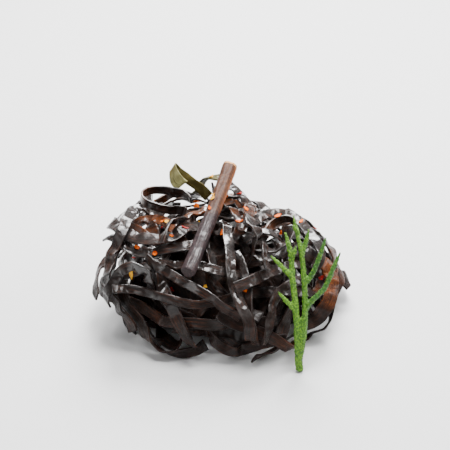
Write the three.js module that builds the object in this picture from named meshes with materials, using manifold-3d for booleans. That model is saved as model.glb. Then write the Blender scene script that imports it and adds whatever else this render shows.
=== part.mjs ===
// A heap of simmered shredded kombu, as served: long narrow strips of kelp tangled into a mound,
// with one thick stalk laid over it, one band of thin green frond and a green garnish sprig.
// Millimetres, +Z up. The origin is on the surface that the heap lies on, under its middle.
import * as THREE from "three";
import Module from "manifold-3d";
import { mergeVertices } from "three/addons/utils/BufferGeometryUtils.js";

const wasm = await Module();
wasm.setup();

// The mound that the strips make up: its half width, half depth and height over its widest level.
// Its shoulders are squarer than an ellipsoid's, it leans to the left and its crest falls to the right.
const HALF_WIDTH = 36.5;
const HALF_DEPTH = 33;
const CREST = 28;
const WIDEST_LEVEL = 6;
const UNDERCUT = 11;
const LEAN = -4;
const SLOPE_TO_RIGHT = 0.34;
const SQUARENESS = 2.3;
const MEAN_RADIUS = 35;

// The strips, and how they lie: millimetres between strips, and over the surface under the heap.
const STRIP_THICKNESS = 1;
const RUNG_SPACING = 3.4;
const TIGHT_RUNG_SPACING = 2.6;
const SAMPLE_SPACING = 1;
const CLEARANCE = 0.75;
const LEAST_GAP = 0.46;
const EDGE_INSET = 0.45;
const FLOOR_GAP = 0.6;
const END_CUT = 0.4;

// The dense middle of the heap, as a share of the mound, and the short strips that stand out of it.
const CORE_LEVEL = 0.71;
const INNER_STRIPS = 30;
const INNER_RUNG_SPACING = 4.8;
const COARSE_STRIP_MARGIN = 0.25;
const GOLDEN_ANGLE = 2.4;

// The free strips in the middle layer, round the foot, and round the back, sides and crest.
const LOWER_STRIPS = 12;
const FOOT_STRIPS = 6;
const OUTER_STRIPS = 13;

// The eye from which the front strips are given: its angle above level, and its distance from the heap.
const SIGHT = THREE.MathUtils.degToRad(32);
const EYE_DISTANCE = 500;

const random = seeded(41);

function seeded(seed) {
  let state = seed >>> 0;
  return () => {
    state = (state + 0x6d2b79f5) >>> 0;
    let t = Math.imul(state ^ (state >>> 15), 1 | state);
    t = (t + Math.imul(t ^ (t >>> 7), 61 | t)) ^ t;
    return ((t ^ (t >>> 14)) >>> 0) / 4294967296;
  };
}

const between = (low, high) => low + (high - low) * random();

// 1 on the mound's surface, less inside it.
function depthIn(p) {
  const rise = p.z - WIDEST_LEVEL;
  const high = rise > 0 ? CREST - SLOPE_TO_RIGHT * Math.max(0, p.x) : UNDERCUT;
  const x = Math.abs(p.x - (LEAN * Math.max(rise, 0)) / CREST) / HALF_WIDTH;
  const y = Math.abs(p.y) / HALF_DEPTH;
  const z = Math.abs(rise) / high;
  return (x ** SQUARENESS + y ** SQUARENESS + z ** SQUARENESS) ** (1 / SQUARENESS);
}

function outwardAt(p) {
  const step = 0.2;
  const at = (dx, dy, dz) => depthIn(new THREE.Vector3(p.x + dx, p.y + dy, p.z + dz));
  return new THREE.Vector3(
    at(step, 0, 0) - at(-step, 0, 0),
    at(0, step, 0) - at(0, -step, 0),
    at(0, 0, step) - at(0, 0, -step),
  ).normalize();
}

const MIDDLE = new THREE.Vector3(0, 0, WIDEST_LEVEL);

function ontoLevel(p, level) {
  const share = level / depthIn(p);
  return p.sub(MIDDLE).multiplyScalar(share).add(MIDDLE);
}

// Spheres along the strips that already lie in the heap, kept in a grid of cells.
const CELL = 1.8;
const GRID = 96;

class Crowd {
  constructor() {
    this.cells = new Array(GRID ** 3);
    this.least = Infinity;
  }
  cell(v) {
    return Math.floor(v / CELL) + GRID / 2;
  }
  add(x, y, z, radius) {
    const at = (this.cell(x) * GRID + this.cell(y)) * GRID + this.cell(z);
    (this.cells[at] ??= []).push(x, y, z, radius);
  }
  // Adds to push the way out of each sphere nearer than the clearance, notes the least gap that is left,
  // and returns how many such spheres there are.
  pushOut(x, y, z, radius, push) {
    const reach = radius > 0.6 ? 3 : 1;
    const [ci, cj, ck] = [this.cell(x), this.cell(y), this.cell(z)];
    let met = 0;
    for (let i = ci - reach; i <= ci + reach; i++)
      for (let j = cj - reach; j <= cj + reach; j++)
        for (let k = ck - reach; k <= ck + reach; k++) {
          const list = this.cells[(i * GRID + j) * GRID + k];
          if (!list) continue;
          for (let n = 0; n < list.length; n += 4) {
            const dx = x - list[n];
            const dy = y - list[n + 1];
            const dz = z - list[n + 2];
            const keep = radius + list[n + 3] + CLEARANCE;
            const d2 = dx * dx + dy * dy + dz * dz;
            if (d2 >= keep * keep || d2 < 1e-9) continue;
            const d = Math.sqrt(d2);
            const share = (keep - d) / d;
            this.least = Math.min(this.least, d - keep + CLEARANCE);
            push[0] += dx * share;
            push[1] += dy * share;
            push[2] += dz * share;
            met++;
          }
        }
    return met;
  }
}

const crowd = new Crowd();

// A strip is a ladder: two edges that stay a width apart, with rungs across it. In its points and its home,
// which is where it would lie if nothing was in its way, each rung has its left end and then its right end.
function ladderOf(route, width, spacing = RUNG_SPACING) {
  const count = Math.max(5, Math.round(route.length / spacing) + 1);
  const home = new Float64Array(count * 6);
  const outward = new Float64Array(count * 3);
  const step = route.length / (count - 1);
  for (let i = 0; i < count; i++) {
    const { point, across } = route.at(i / (count - 1));
    const out = outwardAt(point);
    const left = point.clone().addScaledVector(across, -width / 2);
    const right = point.clone().addScaledVector(across, width / 2);
    home.set([left.x, left.y, left.z, right.x, right.y, right.z], i * 6);
    outward.set([out.x, out.y, out.z], i * 3);
  }
  return { count, home, outward, width, step, points: home.slice() };
}

// Links hold the strip's shape: its edges, its rungs, its diagonals and, more softly, its bends.
function linksOf(ladder, stiffness) {
  const { home, count, step, width } = ladder;
  const links = [];
  const rest = (a, b) => Math.hypot(...[0, 1, 2].map((n) => home[a * 3 + n] - home[b * 3 + n]));
  const diagonal = Math.hypot(step, width);
  for (let i = 0; i < count; i++) {
    const [left, right] = [2 * i, 2 * i + 1];
    links.push([left, right, width, 1]);
    if (i + 1 < count) {
      links.push([left, left + 2, 0.5 * step + 0.5 * rest(left, left + 2), 1]);
      links.push([right, right + 2, 0.5 * step + 0.5 * rest(right, right + 2), 1]);
      links.push([left, right + 2, diagonal, 0.5]);
      links.push([right, left + 2, diagonal, 0.5]);
    }
    for (const [skip, share] of [[2, 1], [4, 0.6]])
      if (i + skip < count)
        for (const a of [left, right]) {
          const b = a + 2 * skip;
          links.push([a, b, rest(a, b), stiffness * share]);
        }
  }
  return links;
}

// The places on a strip's middle surface where contact is felt: after which rung, how far on, how far across.
function samplesOf({ count, step, width }, thickness) {
  const samples = [];
  const inset = Math.min(0.49, (thickness * EDGE_INSET) / width);
  const along = Math.max(1, Math.ceil(step / SAMPLE_SPACING));
  const across = Math.max(1, Math.ceil((width * (1 - 2 * inset)) / SAMPLE_SPACING));
  for (let i = 0; i + 1 < count; i++)
    for (let a = 0; a < along + (i + 2 === count ? 1 : 0); a++)
      for (let c = 0; c <= across; c++) samples.push([i, a / along, inset + ((1 - 2 * inset) * c) / across]);
  return samples;
}

function placeSamples(points, samples, places) {
  samples.forEach(([i, u, v], s) => {
    for (let n = 0; n < 3; n++) {
      const near = points[i * 6 + n] * (1 - v) + points[i * 6 + 3 + n] * v;
      const far = points[i * 6 + 6 + n] * (1 - v) + points[i * 6 + 9 + n] * v;
      places[s * 3 + n] = near * (1 - u) + far * u;
    }
  });
}

// Lays a strip on those that are there: it starts clear of the heap and is lowered to press millimetres
// inside its home, while its links, the core, the floor and the other strips hold it off.
const ROUNDS = 240;
const LOWERED_AFTER = 0.6;
const FREE_AFTER = 0.85;
const PULL = 0.12;
const HOLD = 0.08;

function settle(ladder, thickness, { from = 11, press = 2.5, stiffness = 0.4 } = {}) {
  const { points, home, outward, count, step } = ladder;
  const links = linksOf(ladder, stiffness);
  const samples = samplesOf(ladder, thickness);
  const radius = thickness / 2;
  const places = new Float64Array(samples.length * 3);
  const moved = new Float64Array(points.length);
  const weights = new Float64Array(count * 2);
  const push = [0, 0, 0];
  const coreLevel = CORE_LEVEL + (radius + CLEARANCE) / MEAN_RADIUS;
  const spot = new THREE.Vector3();
  for (let i = 0; i < count; i++)
    for (let n = 0; n < 6; n++) points[i * 6 + n] = home[i * 6 + n] + from * outward[i * 3 + (n % 3)];

  function pullHome(lift) {
    for (let i = 0; i < count; i++)
      for (const at of [i * 6, i * 6 + 3]) {
        const way = [0, 1, 2].map((n) => home[at + n] + lift * outward[i * 3 + n] - points[at + n]);
        const share = Math.min(HOLD, PULL / (Math.hypot(...way) || 1));
        for (const n of [0, 1, 2]) points[at + n] += share * way[n];
      }
  }

  function pullLinks() {
    for (const [a, b, length, share] of links) {
      const way = [0, 1, 2].map((n) => points[b * 3 + n] - points[a * 3 + n]);
      const d = Math.hypot(way[0], way[1], way[2]) || 1e-6;
      const pull = (0.5 * share * (d - length)) / d;
      for (let n = 0; n < 3; n++) {
        points[a * 3 + n] += way[n] * pull;
        points[b * 3 + n] -= way[n] * pull;
      }
    }
  }

  function give(s, x, y, z, met) {
    const [i, u, v] = samples[s];
    const shares = [(1 - u) * (1 - v), (1 - u) * v, u * (1 - v), u * v];
    for (let c = 0; c < 4; c++) {
      const corner = 2 * i + c;
      moved[corner * 3] += shares[c] * x;
      moved[corner * 3 + 1] += shares[c] * y;
      moved[corner * 3 + 2] += shares[c] * z;
      weights[corner] += shares[c] * met;
    }
  }

  function meetOthers() {
    for (let s = 0; s < samples.length; s++) {
      push.fill(0);
      spot.fromArray(places, s * 3);
      let met = crowd.pushOut(spot.x, spot.y, spot.z, radius, push);
      const deep = coreLevel / depthIn(spot) - 1;
      if (deep > 0) {
        crowd.least = Math.min(crowd.least, CLEARANCE - deep * spot.distanceTo(MIDDLE));
        push[0] += deep * spot.x;
        push[1] += deep * spot.y;
        push[2] += deep * (spot.z - WIDEST_LEVEL);
        met++;
      }
      const low = radius + FLOOR_GAP - spot.z;
      if (low > 0) {
        push[2] += low;
        met++;
      }
      if (met) give(s, push[0], push[1], push[2], met);
    }
  }

  // Parts of the strip that lie far apart along it keep off each other too.
  function meetItself() {
    const keep = 2 * radius + CLEARANCE;
    for (let s = 0; s < samples.length; s++)
      for (let q = s + 1; q < samples.length; q++) {
        const apart = (samples[q][0] + samples[q][1] - samples[s][0] - samples[s][1]) * step;
        if (apart < 6 + 2 * thickness) continue;
        const dx = places[s * 3] - places[q * 3];
        const dy = places[s * 3 + 1] - places[q * 3 + 1];
        const dz = places[s * 3 + 2] - places[q * 3 + 2];
        const d2 = dx * dx + dy * dy + dz * dz;
        if (d2 >= keep * keep) continue;
        const d = Math.sqrt(d2) || 1e-6;
        crowd.least = Math.min(crowd.least, d - 2 * radius);
        const share = (0.5 * (keep - d)) / d;
        give(s, dx * share, dy * share, dz * share, 1);
        give(q, -dx * share, -dy * share, -dz * share, 1);
      }
  }

  function meetAll(withItself) {
    moved.fill(0);
    weights.fill(0);
    placeSamples(points, samples, places);
    meetOthers();
    if (withItself) meetItself();
    for (let c = 0; c < count * 2; c++)
      if (weights[c] > 0)
        for (let n = 0; n < 3; n++) points[c * 3 + n] += (1.2 * moved[c * 3 + n]) / weights[c];
  }

  for (let round = 0; round < ROUNDS; round++) {
    const lift = from - (from + press) * Math.min(1, round / (ROUNDS * LOWERED_AFTER));
    if (round < ROUNDS * FREE_AFTER) pullHome(lift);
    for (let sweep = 0; sweep < 3; sweep++) pullLinks();
    meetAll(round % 2 === 0);
  }
  crowd.least = Infinity;
  const before = points.slice();
  meetAll(true);
  points.set(before);
  placeSamples(points, samples, places);
  return { ladder, gap: crowd.least, places, radius };
}

function join({ places, radius }) {
  for (let s = 0; s < places.length; s += 3) crowd.add(places[s], places[s + 1], places[s + 2], radius);
}

// A strip's solid: a cylinder with four sides, bent along its ladder.
function stripGeometry({ count, points }, thickness) {
  const geometry = new THREE.CylinderGeometry(1, 1, count - 1, 4, count - 1);
  const position = geometry.attributes.position;
  const rungs = [];
  for (let i = 0; i < count; i++) {
    const left = new THREE.Vector3().fromArray(points, i * 6);
    const right = new THREE.Vector3().fromArray(points, i * 6 + 3);
    rungs.push({ middle: left.clone().lerp(right, 0.5), across: right.clone().sub(left) });
  }
  rungs.forEach((rung, i) => {
    const before = rungs[Math.max(0, i - 1)].middle;
    const after = rungs[Math.min(count - 1, i + 1)].middle;
    rung.forward = after.clone().sub(before).normalize();
    rung.normal = rung.forward.clone().cross(rung.across).normalize();
  });
  for (let v = 0; v < position.count; v++) {
    const x = position.getX(v);
    const z = position.getZ(v);
    const i = Math.round((count - 1) / 2 - position.getY(v));
    const rung = rungs[i];
    const place = rung.middle.clone();
    if (Math.hypot(x, z) < 0.5) {
      place.addScaledVector(rung.forward, i ? END_CUT : -END_CUT);
    } else {
      // The cylinder's four corners, at 0, 90, 180 and 270 degrees, become those of the strip's section.
      const quarter = Math.round((Math.atan2(x, z) / Math.PI) * 2 + 4) % 4;
      const [side, face] = [[0.5, 0.5], [0.5, -0.5], [-0.5, -0.5], [-0.5, 0.5]][quarter];
      place.addScaledVector(rung.across, side);
      place.addScaledVector(rung.normal, face * thickness);
    }
    position.setXYZ(v, place.x, place.y, place.z);
  }
  return closed(geometry);
}

function closed(geometry) {
  geometry.deleteAttribute("normal");
  geometry.deleteAttribute("uv");
  return mergeVertices(geometry, 1e-4);
}

// A route that wanders over the mound at a level. The strip is turned so that it bends only the easy way:
// it lies flat where the route runs straight and stands on edge where the route curls. It follows the mound's
// own curve lying flat, and near the surface under the heap it turns up again.
const ROUTE_STEP = 0.5;
const MOUND_BEND = 0.045;
const LOW = 5;
const TURN_UP = 0.04;
const HUMP = 0.04;

function wanderingRoute({ start, heading, length, level, curl, wave }) {
  const steps = Math.round(length / ROUTE_STEP);
  const p = ontoLevel(start.clone(), level);
  const outStart = outwardAt(p);
  const forward = new THREE.Vector3(0, 0, 1).cross(outStart).normalize().applyAxisAngle(outStart, heading);
  const phases = [0, 0, 0].map(() => between(0, 2 * Math.PI));
  const places = [];
  for (let i = 0; i <= steps; i++) {
    const s = 2 * Math.PI * i * ROUTE_STEP;
    const out = outwardAt(p);
    const turn = curl * (Math.sin(s / wave + phases[0]) + 0.5 * Math.sin(s / (wave * 0.43) + phases[1]));
    const flat = out.clone().cross(forward);
    const across = flat.multiplyScalar(MOUND_BEND).addScaledVector(out, -turn).normalize();
    places.push({ point: p.clone(), across });
    forward.applyAxisAngle(out, turn * ROUTE_STEP);
    if (p.z < LOW && forward.z < 0.3) forward.z += TURN_UP * (LOW - p.z);
    forward.addScaledVector(out, -forward.dot(out)).normalize();
    p.addScaledVector(forward, ROUTE_STEP);
    ontoLevel(p, level * (1 + HUMP * Math.sin(s / (wave * 0.8) + phases[2])));
  }
  return routeThrough(places, length);
}

function routeThrough(places, length) {
  return {
    length,
    at: (u) => {
      const { point, across } = places[Math.round(u * (places.length - 1))];
      return { point: point.clone(), across: across.clone() };
    },
  };
}

// A point that the eye sees at right, up of the heap's middle, measured there, at a depth behind that middle.
function seenAt(right, up, depth) {
  const nearer = 1 + (up * Math.tan(SIGHT)) / EYE_DISTANCE;
  const share = (1 + depth / (EYE_DISTANCE * Math.cos(SIGHT))) / nearer;
  const z = WIDEST_LEVEL + (up * share - depth * Math.sin(SIGHT)) / Math.cos(SIGHT);
  return new THREE.Vector3(right * share, depth, z);
}

// The nearest place of the mound that is seen there; beside the mound, the place that is least far from it.
function onMound(right, up, lift) {
  let best = seenAt(right, up, -60);
  for (let depth = -60; depth < 60; depth += 0.25) {
    const p = seenAt(right, up, depth);
    if (depthIn(p) < depthIn(best)) best = p;
    if (depthIn(p) <= 1) break;
  }
  return best.addScaledVector(outwardAt(best), depthIn(best) <= 1.001 ? lift : 0);
}

// A route through given places; its roll turns the strip from flat on the mound, 0, to on edge, 90 degrees.
// Both ends go on for a tuck's length, down to a level inside the mound.
const TUCK = 6;
const TUCK_LEVEL = 0.9;

function tracedRoute(points, rolls) {
  const ends = [[points[0], points[1]], [points.at(-1), points.at(-2)]].map(([end, next]) => {
    const p = end.clone().addScaledVector(end.clone().sub(next).normalize(), TUCK);
    return ontoLevel(p, Math.min(TUCK_LEVEL, depthIn(p)));
  });
  const all = [ends[0], ...points, ends[1]];
  const turns = [rolls[0], ...rolls, rolls.at(-1)];
  const curve = new THREE.CatmullRomCurve3(all, false, "centripetal");
  const length = curve.getLength();
  const steps = Math.round(length / ROUTE_STEP);
  const places = [];
  for (let i = 0; i <= steps; i++) {
    const u = i / steps;
    const point = curve.getPointAt(u);
    const forward = curve.getTangentAt(u);
    const out = outwardAt(point);
    const flat = out.clone().cross(forward).normalize();
    const upright = forward.clone().cross(flat).normalize();
    const t = curve.getUtoTmapping(u) * (all.length - 1);
    const n = Math.min(all.length - 2, Math.floor(t));
    const roll = THREE.MathUtils.degToRad(turns[n] + (turns[n + 1] - turns[n]) * (t - n));
    const across = flat.multiplyScalar(Math.cos(roll)).addScaledVector(upright, Math.sin(roll));
    places.push({ point, across });
  }
  return routeThrough(places, length);
}

const kombu = new THREE.MeshStandardMaterial({ name: "kombu", color: 0x241510, roughness: 0.3 });
const stalkSkin = new THREE.MeshStandardMaterial({ name: "kombu stalk", color: 0x4a2a1c, roughness: 0.35 });
const frond = new THREE.MeshStandardMaterial({ name: "green frond", color: 0x4c4a1c, roughness: 0.4 });
const sprigSkin = new THREE.MeshStandardMaterial({ name: "sprig green", color: 0x4f9a35, roughness: 0.6 });

const heap = new THREE.Group();
heap.name = "shredded_kombu";

function addMesh(name, geometry, material) {
  const mesh = new THREE.Mesh(geometry, material);
  mesh.name = name;
  heap.add(mesh);
}

const { Manifold, Mesh } = wasm;
const SLIVER = 0.01;

function solidOf(geometry) {
  return new Manifold(
    new Mesh({
      numProp: 3,
      vertProperties: new Float32Array(geometry.attributes.position.array),
      triVerts: new Uint32Array(geometry.index.array),
    }),
  );
}

function geometryOf(solid) {
  const mesh = solid.getMesh();
  const geometry = new THREE.BufferGeometry();
  geometry.setAttribute("position", new THREE.BufferAttribute(mesh.vertProperties, 3));
  geometry.setIndex(new THREE.BufferAttribute(mesh.triVerts, 1));
  return geometry;
}

// Lays a strip by up to TRIES routes, and keeps the first that clears its neighbours, else the clearest.
const TRIES = 8;

function lay(routeOf, width, spacing, options) {
  let best = null;
  for (let attempt = 0; attempt < TRIES && !(best && best.gap > LEAST_GAP); attempt++) {
    const laid = settle(ladderOf(routeOf(attempt), width, spacing), STRIP_THICKNESS, options(attempt));
    if (!best || laid.gap > best.gap) best = laid;
  }
  join(best);
  return stripGeometry(best.ladder, STRIP_THICKNESS);
}

// Whether each edge of a skin has two faces. It has more where parts of the skin touch along an edge.
function isSound({ attributes: { position }, index }) {
  const faces = new Map();
  const corner = (i) => [position.getX(i), position.getY(i), position.getZ(i)].map((v) => v.toFixed(3)).join();
  for (let t = 0; t < index.count; t += 3)
    for (let n = 0; n < 3; n++) {
      const ends = [corner(index.getX(t + n)), corner(index.getX(t + ((n + 1) % 3)))].sort().join(" ");
      faces.set(ends, (faces.get(ends) ?? 0) + 1);
    }
  return [...faces.values()].every((count) => count === 2);
}

// The dense middle with a flat foot, and the short curled strips that stand out of it. A strip that would
// leave its skin unsound stays out.
function innerTangle() {
  const room = 100;
  const above = Manifold.cube([room, room, room]).translate([-room / 2, -room / 2, 0]);
  const trimmed = (solid) => {
    const parts = solid.intersect(above).simplify(SLIVER).decompose();
    return geometryOf(parts.sort((a, b) => b.volume() - a.volume())[0]);
  };
  const core = closed(new THREE.SphereGeometry(1, 22, 14));
  const position = core.attributes.position;
  for (let v = 0; v < position.count; v++) {
    const p = new THREE.Vector3().fromBufferAttribute(position, v);
    ontoLevel(p.multiplyScalar(MEAN_RADIUS).add(MIDDLE), CORE_LEVEL);
    position.setXYZ(v, p.x, p.y, p.z);
  }
  let whole = solidOf(core);
  for (let n = 0; n < INNER_STRIPS; n++) {
    const route = wanderingRoute({
      start: placeAt(n * GOLDEN_ANGLE, between(0.15, 1.45)),
      heading: between(0, 2 * Math.PI),
      length: between(30, 48),
      level: between(0.73, 0.81),
      curl: between(0.05, 0.1),
      wave: between(22, 40),
    });
    const ladder = ladderOf(route, between(3.2, 4.4), INNER_RUNG_SPACING);
    const samples = samplesOf(ladder, STRIP_THICKNESS);
    const places = new Float64Array(samples.length * 3);
    placeSamples(ladder.points, samples, places);
    join({ places, radius: STRIP_THICKNESS / 2 + COARSE_STRIP_MARGIN });
    const grown = whole.add(solidOf(stripGeometry(ladder, STRIP_THICKNESS)));
    if (isSound(trimmed(grown))) whole = grown;
  }
  return trimmed(whole);
}

// A place round the heap's middle: its angle about the vertical and its angle above level.
function placeAt(angle, climb) {
  const level = new THREE.Vector3(Math.cos(angle), Math.sin(angle), 0).multiplyScalar(Math.cos(climb));
  return level.setZ(Math.sin(climb)).multiplyScalar(MEAN_RADIUS).add(MIDDLE);
}

// Wandering strips, spread round the heap from low on it to its crest.
function wanderers(prefix, count, { levels, rises, turns, curls, widths }) {
  for (let n = 0; n < count; n++) {
    const angle = turns[0] + ((turns[1] - turns[0]) * (n + between(0.2, 0.8))) / count;
    const climb = between(...rises);
    const width = between(...widths);
    const routeOf = () =>
      wanderingRoute({
        start: placeAt(angle, climb),
        heading: between(-0.7, 0.7) + (random() < 0.5 ? Math.PI : 0),
        length: between(42, 74),
        level: levels[0] + ((levels[1] - levels[0]) * n) / count,
        curl: between(...curls),
        wave: between(24, 50),
      });
    const name = `${prefix}_${String(n + 1).padStart(2, "0")}`;
    addMesh(name, lay(routeOf, width, RUNG_SPACING, () => ({})), kombu);
  }
}

// The strips that show from the front, deepest first: their width, and their points in the view along the
// line of sight, each as right, up, lift off the mound and roll.
const FRONT_STRIPS = {
  under_loop: {
    width: 3.2,
    seen: [
      [-26.5, 20, 0.6, 0], [-23.5, 22, 1, 10], [-21, 22, 1.2, 20], [-18, 21, 1.2, 20], [-15.5, 19.5, 1, 20],
      [-13.5, 16.5, 0.6, 10],
    ],
  },
  left_inner: {
    width: 3.0,
    seen: [
      [-34, 22, 0.6, 30], [-31.5, 20, 1, 40], [-28.5, 19.5, 1.2, 40], [-26, 18.5, 1, 40],
      [-23.5, 16, 0.6, 30],
    ],
  },
  under_arch: {
    width: 4.4,
    seen: [
      [0.5, 30, 0.5, 0], [4, 29, 0.8, 0], [6.5, 27, 0.8, 0], [8.5, 24.5, 0.8, 0], [8, 22, 0.6, 0],
      [6, 19, 0.4, 0],
    ],
  },
  left_side: {
    width: 4.4,
    seen: [
      [-28.6, 20, 0, 10], [-29.4, 16, 0, 10], [-30, 12, 0, 10], [-30.8, 7, 0, 10], [-31.2, 2, 0, 10],
      [-30.8, -3.5, 0, 10], [-28.8, -9, 0, 10],
    ],
  },
  left_hook: {
    width: 3.4,
    seen: [
      [-32.6, -0.5, 0.4, 10], [-31, 2, 0.8, 10], [-29.5, 6, 1.2, 15], [-28, 7.8, 1.5, 20],
      [-25.8, 8.6, 1.5, 30],
      [-23.5, 8, 1.2, 40], [-22, 6, 1, 50], [-22.5, 3.5, 0.6, 50],
    ],
  },
  low_left: {
    width: 2.8,
    seen: [
      [-27.5, 1.5, 0.5, 30], [-24, 0, 1, 20], [-21, -0.5, 1.2, 20], [-17, -2, 1.2, 10], [-13, -3.5, 1.2, 10],
      [-9.5, -4.5, 1, 10], [-6, -4.5, 0.8, 0], [-2.5, -4, 0.4, 0],
    ],
  },
  low_middle: {
    width: 3.0,
    seen: [
      [-19, 6, 0.4, 20], [-16, 4, 1, 20], [-13, 2, 1.3, 15], [-9.5, 0.5, 1.5, 10], [-6.5, -1, 1.5, 10],
      [-3, -3, 1.2, 10], [0, -5.5, 0.8, 10],
    ],
  },
  middle_fall_thin: {
    width: 2.6,
    seen: [
      [6, 6.5, 0.5, 40], [7, 3, 1, 45], [7.5, -0.5, 1.2, 50], [8, -4, 1.2, 50], [9, -7.5, 1, 50],
      [11, -11.5, 0.5, 40],
    ],
  },
  middle_fall: {
    width: 3.4,
    seen: [
      [1.5, 20, 0.8, 0], [1.5, 16, 1.2, 0], [2, 10.5, 1.4, 0], [2, 5.5, 1.4, 0], [3, 1.5, 1.4, 10],
      [4.5, -3, 1.2, 20], [6, -6.5, 1, 30], [8.5, -10, 0.6, 30],
    ],
  },
  low_right_curl: {
    width: 2.8,
    seen: [
      [12, -11, 0.4, 30], [14.5, -8, 1, 30], [15.5, -5.5, 1.2, 30], [17.5, -2.5, 1.2, 30], [20, -1, 1, 20],
      [23, -0.5, 0.5, 10],
    ],
  },
  low_right_band: {
    width: 3.6,
    seen: [
      [7.5, 1.5, 0.5, 0], [11, 3.5, 1, 0], [14, 4.5, 1.2, 0], [17.5, 5.5, 1.2, 0], [21, 6, 1, 0],
      [24.5, 5.5, 0.5, 10],
    ],
  },
  right_face: {
    width: 4.6,
    seen: [
      [22.5, 20, 0.6, 10], [25.5, 16.5, 1, 0], [28.5, 13, 1, 0], [31, 9.5, 1, 0], [33.5, 6, 0.8, 0],
      [35, 2, 0.5, 0],
    ],
  },
  small_ring: {
    width: 3.0,
    seen: [
      [11.5, 8.5, 0.3, 60], [11, 12, 1.5, 70], [12.5, 15, 2, 75], [15.5, 16, 2.2, 80], [18, 15, 2.2, 80],
      [19.5, 13, 2, 80], [18.5, 10.5, 1.8, 75], [15.5, 9.5, 1.6, 70], [13, 10.5, 1, 60],
    ],
  },
  shoulder: {
    width: 3.4,
    seen: [
      [9, 17.5, 0.2, 0], [11.5, 18, 0.4, 0], [13.5, 18, 0.6, 0], [16.5, 18, 0.6, 10], [19, 17.5, 0.4, 20],
      [22.5, 15.5, 0.2, 20],
    ],
  },
  bright_fall: {
    width: 3.0,
    seen: [
      [3, 25, 1, 0], [4.5, 22, 1.2, 0], [6, 19, 1.4, 0], [7, 15.5, 1.4, 0], [8.5, 14, 1, 0],
      [11, 13, 0.5, 0],
    ],
  },
  left_band_lower: {
    width: 3.6,
    seen: [
      [-31, 12.6, 0.2, 20], [-29.8, 11.2, 0.4, 5], [-28, 10.5, 1, 0], [-23.5, 10, 1, 0], [-18.5, 11, 1, 0],
      [-15, 12, 0.8, 10], [-11.5, 13, 0.3, 20],
    ],
  },
  left_band_upper: {
    width: 4.2,
    seen: [
      [-30, 16.2, 0.2, 10], [-29, 15, 0.4, 5], [-27.6, 14, 0.8, 0], [-25.5, 13, 1, 0], [-21.5, 13, 1.2, 0],
      [-17.5, 13.5, 1.2, 10], [-14, 15, 1, 20], [-12, 17.5, 0.8, 30],
    ],
  },
  glossy_band: {
    width: 3.0,
    seen: [
      [-1.5, 27.5, 1, 10], [-4, 25, 1.4, 10], [-7.5, 23.5, 1.4, 0], [-10.5, 21.5, 1.4, 0],
      [-12.5, 19, 1.2, 10],
      [-14, 16, 1, 20], [-16.5, 14, 0.6, 20],
    ],
  },
  right_lobe: {
    width: 4.8,
    seen: [
      [23, 8, 0.2, 10], [26, 7.5, 0.2, 20], [28.4, 6.4, 0.2, 35], [30, 4.4, 0, 45], [30.8, 1.9, 0, 50],
      [31, -0.9, 0, 50], [30.8, -3.7, 0, 50], [30, -6.5, 0, 45], [28.6, -9.3, 0, 40],
    ],
  },
  left_rim: {
    width: 3.6,
    seen: [
      [-31.4, 2.5, 0, 30], [-30.2, 7.5, 0, 40], [-29, 12, 0, 45], [-28.4, 16.5, 0, 45], [-28.2, 20, 0, 40],
      [-27.2, 22, 0.2, 40], [-25.5, 23.2, 0.2, 20],
    ],
  },
  right_crest: {
    width: 3.6,
    seen: [
      [10, 20.6, 0.2, 10], [12, 20.8, 0.3, 10], [14.5, 20.2, 0.2, 15], [17, 19.2, 0, 20], [19, 17.4, 0, 20],
      [21, 15.2, 0, 25], [22.8, 12.8, 0, 25], [24.4, 10.2, 0, 25], [25.8, 7.4, 0, 25], [27, 4.4, 0, 20],
    ],
  },
};

// The strips that arch free of the mound: their points are given as right, up, depth and roll.
const FREE_STRIPS = {
  arch: {
    width: 4,
    seen: [
      [0, 28, 8, 0], [1.5, 29.2, 7, 0], [4, 30, 5, 0], [6.5, 30, 4, 0], [8.5, 29, 2, 0], [9.2, 27, -1, 0],
      [9, 24.5, -5, 0], [8.6, 21, -10, 0], [9, 18.5, -14, 0], [11, 16.5, -18, 0],
    ],
  },
  behind_stalk: {
    width: 3.4,
    seen: [[-5, 33, 18, 0], [-2.5, 34, 16, 10], [0, 34, 14, 20], [2.5, 32.5, 12, 20], [5, 30, 9, 20]],
  },
};

// The loop at the top left stands on its edge, free of the mound: its middle, its radii, how far its plane
// rises to the back, and the turns at which it starts and that it takes, in degrees.
const LOOP_MIDDLE = new THREE.Vector3(-17, 4.5, 35.2);
const LOOP_RADIUS_X = 7.8;
const LOOP_RADIUS_Y = 5.4;
const LOOP_RISE = 0.3;
const LOOP_WIDTH = 2.9;
const LOOP_START = -50;
const LOOP_TURN = -296;
const LOOP_PARTS = 8;
const LOOP_TAIL = new THREE.Vector3(5.6, -8, 0.4);

function loopRoute() {
  const points = [LOOP_TAIL.clone().add(LOOP_MIDDLE)];
  for (let n = 0; n <= LOOP_PARTS; n++) {
    const a = THREE.MathUtils.degToRad(LOOP_START + (LOOP_TURN * n) / LOOP_PARTS);
    const y = Math.sin(a) * LOOP_RADIUS_Y;
    points.push(new THREE.Vector3(Math.cos(a) * LOOP_RADIUS_X, y, LOOP_RISE * y).add(LOOP_MIDDLE));
  }
  const curve = new THREE.CatmullRomCurve3(points, false, "centripetal");
  const length = curve.getLength();
  const across = new THREE.Vector3(0, -LOOP_RISE, 1).normalize();
  const places = curve.getSpacedPoints(Math.round(length / ROUTE_STEP)).map((point) => ({ point, across }));
  return routeThrough(places, length);
}

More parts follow.
